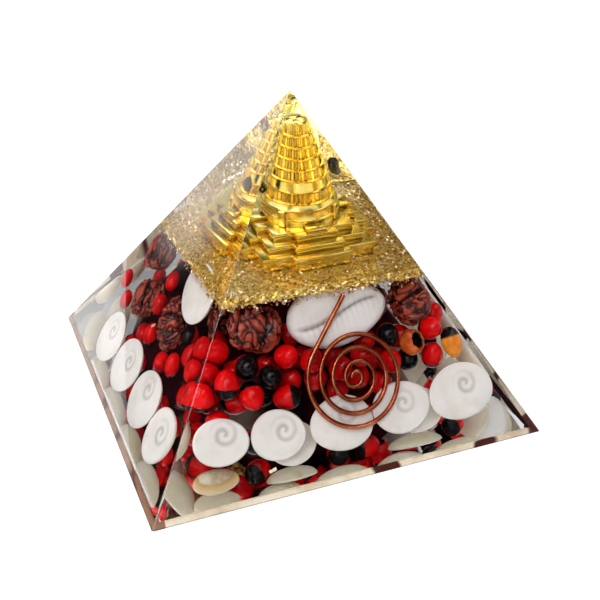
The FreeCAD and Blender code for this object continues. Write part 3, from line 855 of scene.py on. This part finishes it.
def makeHalfShell():
    bpy.ops.mesh.primitive_uv_sphere_add(segments=48, ring_count=32, radius=halfShell["radius"])
    piece = bpy.context.object
    editAll()
    bpy.ops.mesh.bisect(plane_co=(0, 0, halfShell["mouth"]), plane_no=halfShell["mouthWay"],
                        clear_outer=True)
    setMode("OBJECT")
    for vert in piece.data.vertices:
        lump = noise.fractal(vert.co / halfShell["lumpSize"], 1.0, 2.0, 3)
        vert.co += vert.co.normalized() * halfShell["lumps"] * lump
    addModifier(piece, "SOLIDIFY", thickness=halfShell["wall"], offset=-1)
    addModifier(piece, "BEVEL", width=halfShell["edge"], segments=2)
    # Marks the inside, which the material paints near black as shade
    inner = halfShell["radius"] - 0.75 * halfShell["wall"]
    markPoints(piece, "within", [float(vert.co.length < inner) for vert in piece.data.vertices])
    smooth(piece, 60)
    return piece


openShell = makeHalfShell()
place(openShell, onFace(0, 20.85, 28.1, 5.9, 0, 25))
dress(openShell, seedShellMaterial(), "seed_shell", "half_seed_shell")
print("seeds")


# ---- copper spiral

spiral = {
    "radius": 11.55, "step": 1.57, "halfTurns": 7, "eye": 1.3, "tail": 15.8, "tailTurn": 40,
    "along": 2.6, "up": 22.8, "depth": 1.7, "wire": 1.2,
}


# Flat spiral of half turns about two centres, drawn in the face plane as one bezier wire
def makeSpiral():
    bend = math.radians(180 - spiral["tailTurn"])
    radius = spiral["radius"]
    lead = Vector((radius * math.cos(bend), radius * math.sin(bend), 0))
    back = Vector((math.sin(bend), -math.cos(bend), 0))
    handle = spiral["tail"] / 3
    corners = [(lead + back * spiral["tail"], -back, handle, handle), (lead, -back, handle, 0)]

    def arc(centre, size, first, last):
        count = max(1, round(abs(last - first) / 45))
        handle = 4 / 3 * math.tan(abs(last - first) / count * math.pi / 720) * size
        corners[-1] = (*corners[-1][:3], handle)
        for i in range(1, count + 1):
            angle = math.radians(first + (last - first) * i / count)
            spot = centre + Vector((math.cos(angle), math.sin(angle), 0)) * size
            corners.append((spot, Vector((-math.sin(angle), math.cos(angle), 0)), handle, handle))

    arc(Vector((0, 0, 0)), radius, 180 - spiral["tailTurn"], 180)
    here = -radius
    for i in range(spiral["halfTurns"] + 1):
        size = spiral["eye"] if i == spiral["halfTurns"] else radius - i * spiral["step"]
        side = 1 if i % 2 == 0 else -1
        start = 180 if side > 0 else 0
        arc(Vector((here + size * side, 0, 0)), size, start, start + 180)
        here += 2 * size * side
    curve = bpy.data.curves.new("copper_spiral", "CURVE")
    curve.dimensions = "3D"
    curve.bevel_depth = spiral["wire"] / 2 * mm
    curve.bevel_resolution = 4
    curve.resolution_u = 10
    curve.use_fill_caps = True
    line = curve.splines.new("BEZIER")
    line.bezier_points.add(len(corners) - 1)
    for point, (spot, way, before, after) in zip(line.bezier_points, corners):
        point.co = spot * mm
        point.handle_left = (spot - way * before) * mm
        point.handle_right = (spot + way * after) * mm
    pick(newObject("copper_spiral", curve))
    bpy.ops.object.convert(target="MESH")
    piece = bpy.context.object
    smooth(piece, 60)
    return piece


copperSpiral = makeSpiral()
place(copperSpiral, onFace(0, spiral["along"], spiral["up"], spiral["depth"]))
dress(copperSpiral, copperWire, "copper_wire", "copper_spiral")
print("copper spiral")


# ---- Meru Shri Yantra

meru = {
    "turn": 3.0, "offAxis": 1.0,
    "half": 15.0, "step": 2.1, "heights": (3.2, 1.9, 2.1), "edge": 0.13,
    "bayHalf": 7.7, "bayOut": 2.6, "lip": 0.3, "lipHeight": 0.55,
    "gate": (5.0, 1.1),
    "towerRadius": 10.0, "towerHeight": 26.0, "ledge": 0.42, "ledgeShare": 0.16,
    "ribs": 44, "ribDepth": 0.055,
    "storeys": ((0.0, 1.0, 0), (0.085, 0.98, 0), (0.17, 0.93, 0), (0.23, 0.86, 1), (0.335, 0.78, 0),
                (0.435, 0.70, 1), (0.535, 0.62, 1), (0.635, 0.54, 1), (0.74, 0.46, 1),
                (0.845, 0.38, 1)),
    "lug": (1.9, 1.1, 4.2), "lugEdge": 0.3,
    "finial": 1.5,
    "crown": ((0.86, 1.0), (0.72, 0.5), (0.5, 0.18), (0.25, 0.04)),   # width, finials from the top
}


# Box with its size in mm
def makeBox(size, matrix):
    bpy.ops.mesh.primitive_cube_add(size=1)
    box = bpy.context.object
    place(box, matrix @ Matrix.Diagonal((*(Vector(size) * mm), 1)))
    return box


# One slab with a bay pushed out of the middle of each side, cut from a box
def makeTerrace(half, bay, low, high):
    piece = makeBox((2 * half, 2 * half, high - low), movedBy(0, 0, (low + high) / 2))
    setMode("EDIT")
    for side in (-1, 1):
        for normal in ((1, 0, 0), (0, 1, 0)):
            bpy.ops.mesh.select_all(action="SELECT")
            spot = tuple(side * bay * mm * c for c in normal)
            bpy.ops.mesh.bisect(plane_co=spot, plane_no=normal)
    bpy.ops.mesh.select_mode(type="FACE")
    for axis in (0, 1):
        for side in (-1, 1):
            bpy.ops.mesh.select_all(action="DESELECT")
            setMode("OBJECT")
            for face in piece.data.polygons:
                middle = face.center
                face.select = (abs(middle[axis] - side * half * mm) < 1e-6
                               and abs(middle[1 - axis]) < 0.9 * bay * mm)
            setMode("EDIT")
            push = [0, 0, 0]
            push[axis] = side * meru["bayOut"] * mm
            bpy.ops.mesh.extrude_region_move(TRANSFORM_OT_translate={"value": push})
    closeShape()
    addModifier(piece, "BEVEL", width=meru["edge"] * mm, segments=2, limit_method="ANGLE")
    return piece


# Outline of the tower as radius and height in mm, and the heights that get flutes
def towerOutline(foot):
    radius, height, storeys = meru["towerRadius"], meru["towerHeight"], meru["storeys"]
    outline = [(radius, foot)]
    fluted = []
    for (low, share, ribbed), above in zip(storeys, storeys[1:]):
        bottom, top = foot + height * low, foot + height * above[0]
        wall = radius * share
        upper = max(radius * above[1] + meru["ledge"], wall - meru["ledge"])
        lip = meru["ledgeShare"] * (top - bottom)
        outline += [(wall, bottom), (wall - 0.02, bottom + 0.12 * lip), (upper - 0.12, top - lip),
                    (upper + 0.1, top - 0.8 * lip), (upper + 0.1, top - 0.15 * lip),
                    (upper - 0.06, top)]
        if ribbed:
            fluted.append((bottom + 0.1 * lip, top - 0.95 * lip))
    start, neck = foot + height * storeys[-1][0], radius * storeys[-1][1]
    crown = foot + height
    outline += [(neck, start), (neck * 0.97, start + 0.1)]
    outline += [(neck * wide, crown - down * meru["finial"]) for wide, down in meru["crown"]]
    outline.append((0, crown))
    fluted.append((start + 0.05, crown - 0.3 * meru["finial"]))
    return outline, fluted


# Tower turned by spin from its outline, then fluted storey by storey
def makeTower(foot):
    outline, fluted = towerOutline(foot)
    mesh = bpy.data.meshes.new("tower")
    mesh.from_pydata([(r * mm, 0, z * mm) for r, z in outline],
                     [(i, i + 1) for i in range(len(outline) - 1)], [])
    piece = newObject("tower", mesh)
    pick(piece)
    editAll()
    bpy.ops.mesh.spin(steps=2 * meru["ribs"], angle=2 * math.pi, center=(0, 0, 0), axis=(0, 0, 1))
    bpy.ops.mesh.select_all(action="SELECT")
    bpy.ops.mesh.remove_doubles(threshold=1e-6)
    bpy.ops.mesh.normals_make_consistent(inside=False)
    bpy.ops.mesh.select_mode(type="VERT")
    bpy.ops.mesh.select_all(action="DESELECT")
    setMode("OBJECT")
    for vert in piece.data.vertices:
        step = round(math.atan2(vert.co.y, vert.co.x) / (math.pi / meru["ribs"]))
        vert.select = step % 2 == 1 and any(
            low * mm < vert.co.z < high * mm for low, high in fluted)
    setMode("EDIT")
    share = 1 - meru["ribDepth"]
    bpy.ops.transform.resize(value=(share, share, 1))
    bpy.ops.mesh.select_all(action="DESELECT")
    setMode("OBJECT")
    return piece


def makeBar(size, edge, segments, matrix):
    bar = makeBox(size, matrix)
    addModifier(bar, "BEVEL", width=edge * mm, segments=segments)
    return bar


def makeMeru():
    low = block["goldTop"] / mm
    half, lip = meru["half"], meru["lip"]
    parts = []
    for height in meru["heights"]:
        bay = meru["bayHalf"] * half / meru["half"]
        top = low + height
        cut = top - meru["lipHeight"]
        parts.append(makeTerrace(half - lip, bay - lip, low, cut + 0.1))
        parts.append(makeTerrace(half, bay, cut, top))
        low = top
        half -= meru["step"]
    parts.append(makeTower(low - 0.2))
    gateWide, gateHigh = meru["gate"]
    edge = half + meru["step"] + meru["bayOut"]
    wall = 0.9 * meru["towerRadius"]
    for quarter in range(4):
        parts.append(makeBar(
            (gateWide, edge - wall, gateHigh), meru["edge"], 2,
            turned(90 * quarter) @ movedBy(0, -(edge + wall) / 2, low + gateHigh / 2)))
        parts.append(makeBar(
            meru["lug"], meru["lugEdge"], 3, turned(90 * quarter + 45)
            @ movedBy(0, -meru["towerRadius"], low + meru["lug"][2] / 2)))
    piece = joined(parts, "meru_shri_yantra")
    place(piece, movedBy(meru["offAxis"], 0, 0) @ turned(meru["turn"]))
    smooth(piece, 32)
    return dress(piece, goldMaterial(), "gold_plate", "meru_shri_yantra")


makeMeru()
print("meru shri yantra")


# ---- gold flake band, foil and tourmaline

flakeBand = {
    "inset": 0.9 * mm,
    "cuts": 90,
    "flakes": 3800,
    "size": (0.35, 0.95),
    "topShare": 0.55,
    "dust": 700,
    "dustSize": (0.1, 0.3),
    "grain": 1.1 * mm,
    "wave": 5 * mm,
    "ragged": 0.18 * mm,
}


# Bed of flakes under the casting: a crumbly slab whose rim hangs in waves
def makeFlakeBand():
    low, high = block["bedTop"], block["goldTop"]
    bpy.ops.mesh.primitive_cube_add(size=2)
    piece = bpy.context.object
    for vert in piece.data.vertices:
        level = low if vert.co.z < 0 else high
        half = halfAt(level) - flakeBand["inset"]
        vert.co = Vector((math.copysign(half, vert.co.x), math.copysign(half, vert.co.y), level))
    subdivide(flakeBand["cuts"])
    for vert in piece.data.vertices:
        rough = noise.fractal(vert.co / flakeBand["grain"], 1.0, 2.0, 3)
        wave = noise.noise(Vector((vert.co.x, vert.co.y, 0)) / flakeBand["wave"])
        rim = max(abs(vert.co.x), abs(vert.co.y)) / halfAt(vert.co.z)
        if vert.co.z > high - 0.3 * mm:
            vert.co.z += (0.25 * rough - 0.2) * mm
        else:
            vert.co.z += (0.45 * rough + 0.6 * wave * (1 if rim > 0.8 else 0)) * mm
        away = Vector((vert.co.x, vert.co.y, 0)).normalized()
        vert.co += away * flakeBand["ragged"] * rough
    smooth(piece)
    return piece


leafCorners = ((-0.5, -0.35), (0.5, -0.45), (0.42, 0.4), (-0.38, 0.3))


# Thin loose flakes as one piece, each a crumpled four-sided leaf
def makeFlakes(count, chooseSpot, sizes, name):
    verts, faces = [], []
    for i in range(count):
        spot, lift = chooseSpot()
        size = dice.uniform(*sizes) * mm
        turn = Matrix.Rotation(dice.uniform(0, 6.28), 3, "Z") @ Matrix.Rotation(
            dice.uniform(-lift, lift), 3, "X") @ Matrix.Rotation(dice.uniform(-lift, lift), 3, "Y")
        base = len(verts)
        leaf = [(x, y, dice.uniform(-0.08, 0.08)) for x, y in leafCorners]
        for point in (*leaf, (0, 0, 0.12), (0, 0, -0.06)):
            verts.append(spot + turn @ (Vector(point) * size))
        for a, b in ((0, 1), (1, 2), (2, 3), (3, 0)):
            faces.append((base + a, base + b, base + 4))
            faces.append((base + b, base + a, base + 5))
    mesh = bpy.data.meshes.new(name)
    mesh.from_pydata([tuple(v) for v in verts], [], faces)
    return newObject(name, mesh)


# Place under a side at a given height, with a random place along it
def sideSpot(side, half, height):
    return turned(90 * side).to_3x3() @ Vector((dice.uniform(-half, half), -half, height))


# Mostly on the top of the band, some hanging at its rim
def bandSpot():
    if dice.random() < flakeBand["topShare"]:
        half = halfAt(block["goldTop"]) - 1.2 * mm
        spot = Vector((dice.uniform(-half, half), dice.uniform(-half, half),
                       block["goldTop"] - dice.uniform(0.1, 0.3) * mm))
        return spot, 0.5
    height = block["bedTop"] + dice.triangular(-1.6, 1.8, 0.2) * mm
    half = halfAt(height) - dice.uniform(0.5, 1.5) * mm
    side = dice.choice((0, 1, 2, 3))
    return sideSpot(side, half, height), 1.2


# Fine dust near the left and back faces of the clear top
def dustSpot():
    height = dice.triangular(40, 74, 44) * mm
    half = halfAt(height) - dice.triangular(0.6, 4.0, 0.8) * mm
    side = dice.choice((2, 3, 3))
    return sideSpot(side, half, height), 1.5


dress(makeFlakeBand(), goldFlakeMaterial(), "gold_flake_resin", "gold_flake_resin")
looseFlakes = makeFlakes(flakeBand["flakes"], bandSpot, flakeBand["size"], "gold_flakes")
dress(looseFlakes, goldFoil, "gold_foil", "gold_flakes")
goldDust = makeFlakes(flakeBand["dust"], dustSpot, flakeBand["dustSize"], "gold_dust")
dress(goldDust, goldFoil, "gold_foil")


sliverLook = {
    "size": (4.6, 1.8),
    "thick": 0.05,
    "ragged": 0.12,
    "crumple": 0.09,
    "depth": 1.1,
}


# Crumpled strip of foil, flat on the XY plane from its corner
def makeSliver():
    bpy.ops.mesh.primitive_plane_add(size=1)
    piece = bpy.context.object
    subdivide(14)
    long, wide = sliverLook["size"]
    for vert in piece.data.vertices:
        x, y, z = vert.co
        ragged = sliverLook["ragged"] * noise.noise(Vector((x * 5, y * 5, dice.random() * 0.2)))
        lift = 0.1 + sliverLook["crumple"] * noise.noise(vert.co * 6)
        vert.co = Vector(((x + 0.5) * long, (y + 0.5 + ragged) * wide, lift)) * mm
    addModifier(piece, "SOLIDIFY", thickness=sliverLook["thick"] * mm)
    return piece


slivers = []
for face, along, up, turn, share in ((3, -5.3, 42.4, 10, 1), (0, -23.5, 42.4, 62, 1),
                                     (3, 0.7, 24.6, 40, 0.4), (0, -22, 5.69, 15, 0.4)):
    slivers.append(makeSliver())
    place(slivers[-1], onFace(face, along, up, sliverLook["depth"], turn)
          @ Matrix.Diagonal((share, share, 1, 1)))
dress(joined(slivers, "foil_slivers"), goldFoil, "gold_foil", "foil_slivers")


chip = {
    "radius": 1.5 * mm,
    "length": 3.9 * mm,
    "breakWay": (0.5, 0.2, 1),
    "edge": 0.15 * mm,
}


# Six-sided crystal along Z, its upper end broken off at a slant
def makeChip():
    bpy.ops.mesh.primitive_cylinder_add(vertices=6, radius=chip["radius"], depth=chip["length"])
    piece = bpy.context.object
    editAll()
    bpy.ops.mesh.bisect(plane_co=(0, 0, 1.5 * mm), plane_no=chip["breakWay"], clear_outer=True,
                        use_fill=True)
    setMode("OBJECT")
    addModifier(piece, "BEVEL", width=chip["edge"], segments=2)
    return piece


tourmaline = tourmalineMaterial()
for name, spot, degrees, axis in (("left_tourmaline", (-10.2, -3.6, 55.4), 65, (1, 3, 0)),
                                  ("right_tourmaline", (9.2, -4.4, 58.4), 80, (0, 1, 0.2))):
    crystal = makeChip()
    place(crystal, movedBy(*spot) @ turned(degrees, Vector(axis)) @ turned(90, "Y"))
    dress(crystal, tourmaline, "tourmaline", name)
print("gold band, foil and tourmaline")


# ---- stage, light and camera

stage = {
    "floorColour": (0.9, 0.9, 0.9),
    "floorDrop": 0.06 * mm,
    "floorWhite": 0.65,       # share of plain white in the floor that the camera sees
    "floorThrough": 0.8,      # and in the floor seen through the resin
    "skyLevel": 2.6,
    "skyLevels": ((0.0, 0.36), (0.12, 0.34), (0.22, 0.12), (0.62, 0.13), (0.85, 1.0)),  # by height
    "darkWays": ((0.367, -0.749, 0.541), (-0.571, 0.808, 0.138)),   # so that no face glares
    "darkEdge": (0.84, 0.95),
    "darkLevel": 0.03,
    "gleamWay": (-0.396, 0.890, 0.225),     # its reflection pales the top of the left face
    "gleamEdge": (0.984, 0.996),
    "gleamLevel": 2.7,
    "lampTarget": (0, 0, 0.03),
}


def makeFloor():
    bpy.ops.mesh.primitive_plane_add(size=3, location=(0, 0, -stage["floorDrop"]))
    floor = bpy.context.object
    floor.name = "studio_floor"
    make = newMaterial("studioFloor", {"Base Color": (*stage["floorColour"], 1),
                                       "Roughness": 0.8})
    white = make.add("Emission", {"Color": (1, 1, 1, 1), "Strength": 1.0})
    rays = make.add("LightPath").outputs
    share = make.maths("MAXIMUM",
                       make.maths("MULTIPLY", rays["Is Camera Ray"], stage["floorWhite"]),
                       make.maths("MULTIPLY", rays["Is Transmission Ray"], stage["floorThrough"]))
    mix = make.add("MixShader", {0: share, 1: make.shader.outputs[0], 2: white.outputs[0]})
    make.tree.links.new(mix.outputs[0], make.tree.nodes["Material Output"].inputs["Surface"])
    floor.data.materials.append(make.owner)


def makeStudio():
    world = bpy.data.worlds.new("studio")
    bpy.context.scene.world = world
    make = NodeTools(world)
    way = make.add("TexCoord").outputs["Generated"]
    overhead = make.ramp(make.split(way)["Z"], *stage["skyLevels"])
    level = make.multiply(overhead, stage["skyLevel"])
    darkStart, darkEnd = stage["darkEdge"]
    for direction in stage["darkWays"]:
        level = make.multiply(level, make.ramp(make.towards(way, direction), (darkStart, 1),
                                               (darkEnd, stage["darkLevel"])))
    gleamStart, gleamEnd = stage["gleamEdge"]
    gleam = make.ramp(make.towards(way, stage["gleamWay"]), (gleamStart, 0), (gleamEnd, 1))
    level = make.blend(1.0, level, make.multiply(gleam, stage["gleamLevel"]), "ADD")
    camera = make.add("LightPath").outputs["Is Camera Ray"]
    background = make.tree.nodes["Background"]
    make.tree.links.new(make.blend(camera, level, 1), background.inputs["Color"])
    background.inputs["Strength"].default_value = 1.0


def addLamp(name, spot, size, power):
    lamp = bpy.data.lights.new(name, "AREA")
    lamp.size = size
    lamp.energy = power
    holder = newObject(name, lamp)
    holder.location = spot
    way = Vector(stage["lampTarget"]) - Vector(spot)
    holder.rotation_euler = way.to_track_quat("-Z", "Y").to_euler()


view = {
    "focal": 847.84, "pixels": 600, "sensor": 36,
    "target": (0, 0, 20), "shift": (4.335, 1.409), "distance": 227.263,     # in mm
    "azimuth": -24.441, "elevation": 27.376, "roll": 2.218,
}


def makeCamera():
    camera = bpy.data.cameras.new("camera")
    camera.sensor_width = view["sensor"]
    camera.lens = view["focal"] * view["sensor"] / view["pixels"]
    camera.clip_start = 0.001
    holder = newObject("camera", camera)
    holder.matrix_world = (
        movedBy(*view["target"]) @ turned(view["azimuth"]) @ turned(90 - view["elevation"], "X")
        @ turned(view["roll"]) @ movedBy(*view["shift"], view["distance"]))
    bpy.context.scene.camera = holder


makeFloor()
makeStudio()
addLamp("keyLight", (-0.55, -0.30, 0.50), 1.0, 7.0)
addLamp("sparkle", (-0.26, -0.44, 0.66), 0.05, 0.5)
makeCamera()
bpy.context.scene.view_settings.view_transform = "Standard"
print("stage, light and camera")

bpy.ops.object.select_all(action="DESELECT")
